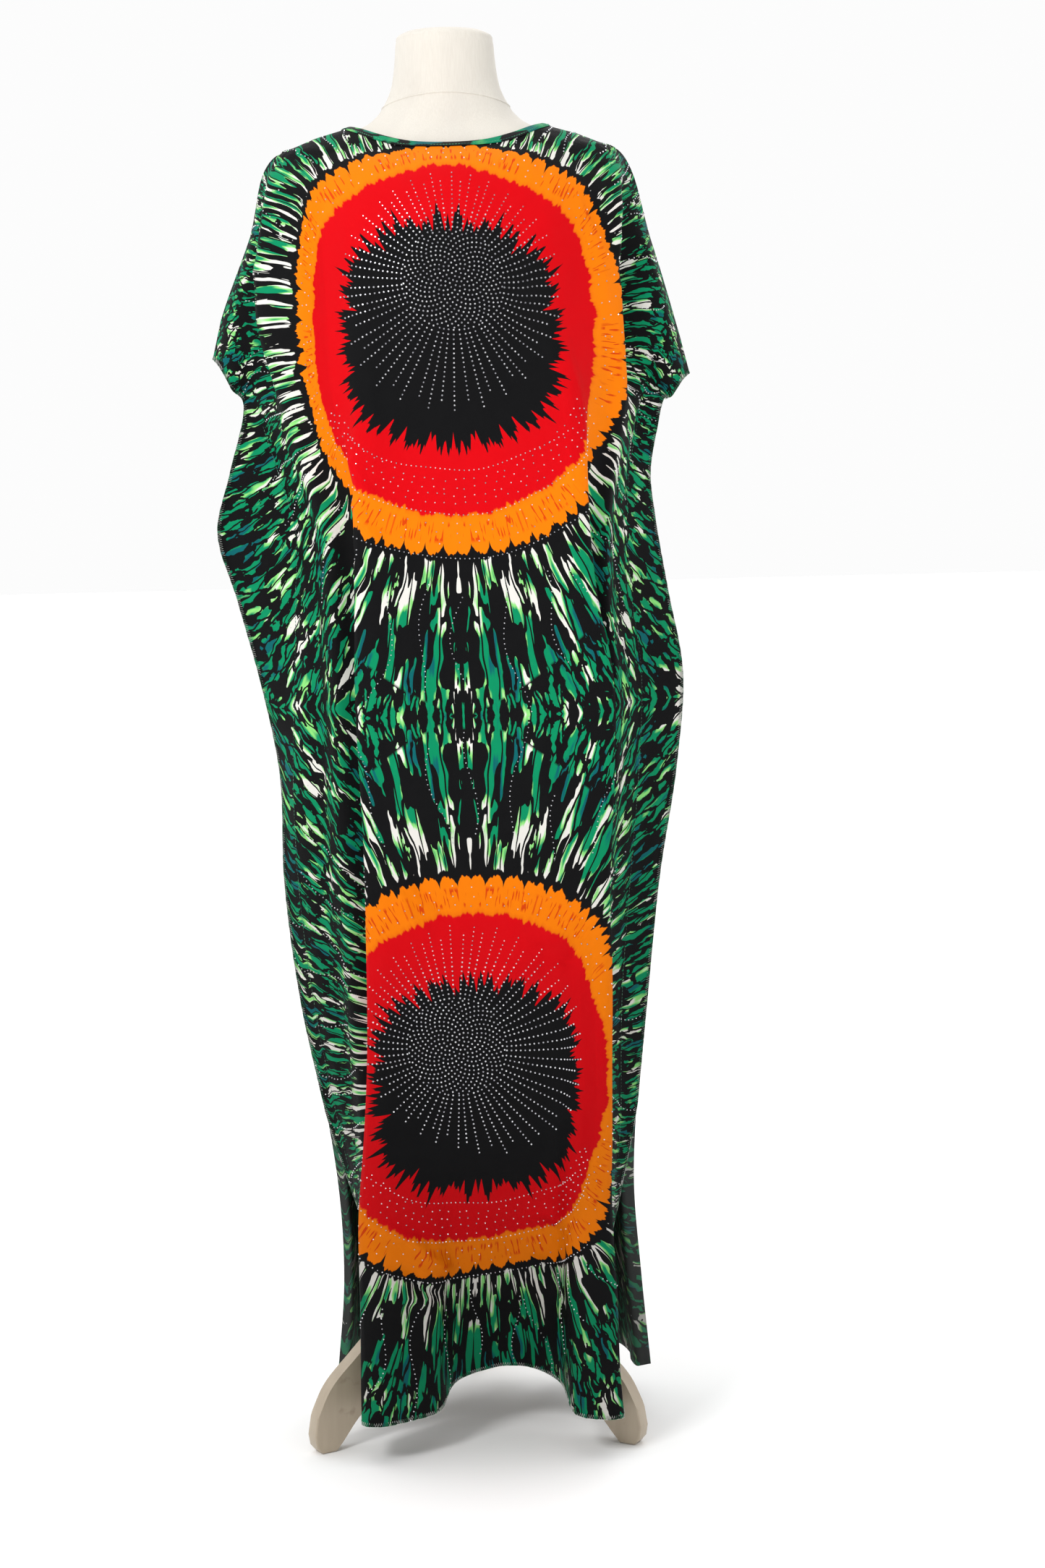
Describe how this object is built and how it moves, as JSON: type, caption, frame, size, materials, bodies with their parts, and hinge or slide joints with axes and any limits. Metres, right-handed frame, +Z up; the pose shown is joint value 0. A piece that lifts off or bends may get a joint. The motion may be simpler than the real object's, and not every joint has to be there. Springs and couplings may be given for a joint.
{
  "type": "baati dress on a limbless dress form with a three-legged stand",
  "caption": "Loose ankle-length printed dress with cut-on sleeves and side slits, hung on a cloth-covered dress form on a wooden tripod.",
  "frame": {"origin": "middle of the part's footprint on the floor", "axes": "+X to the right of someone who looks at the dress's front, -Y towards that viewer, +Z up"},
  "size_m": [0.526, 0.3718, 1.55],
  "materials": {
    "printed_cloth": "smooth printed viscose",
    "neck_cloth": "smooth printed viscose",
    "form_cover": "matt jersey",
    "painted_wood": "satin paint"
  },
  "bodies": {
    "root": {"dress_front": "printed_cloth", "dress_back": "printed_cloth", "neck_band": "neck_cloth", "form_torso": "form_cover", "stand_pole": "painted_wood", "stand_hub": "painted_wood", "leg_rear": "painted_wood", "leg_left": "painted_wood", "leg_right": "painted_wood"}
  },
  "joints": []
}
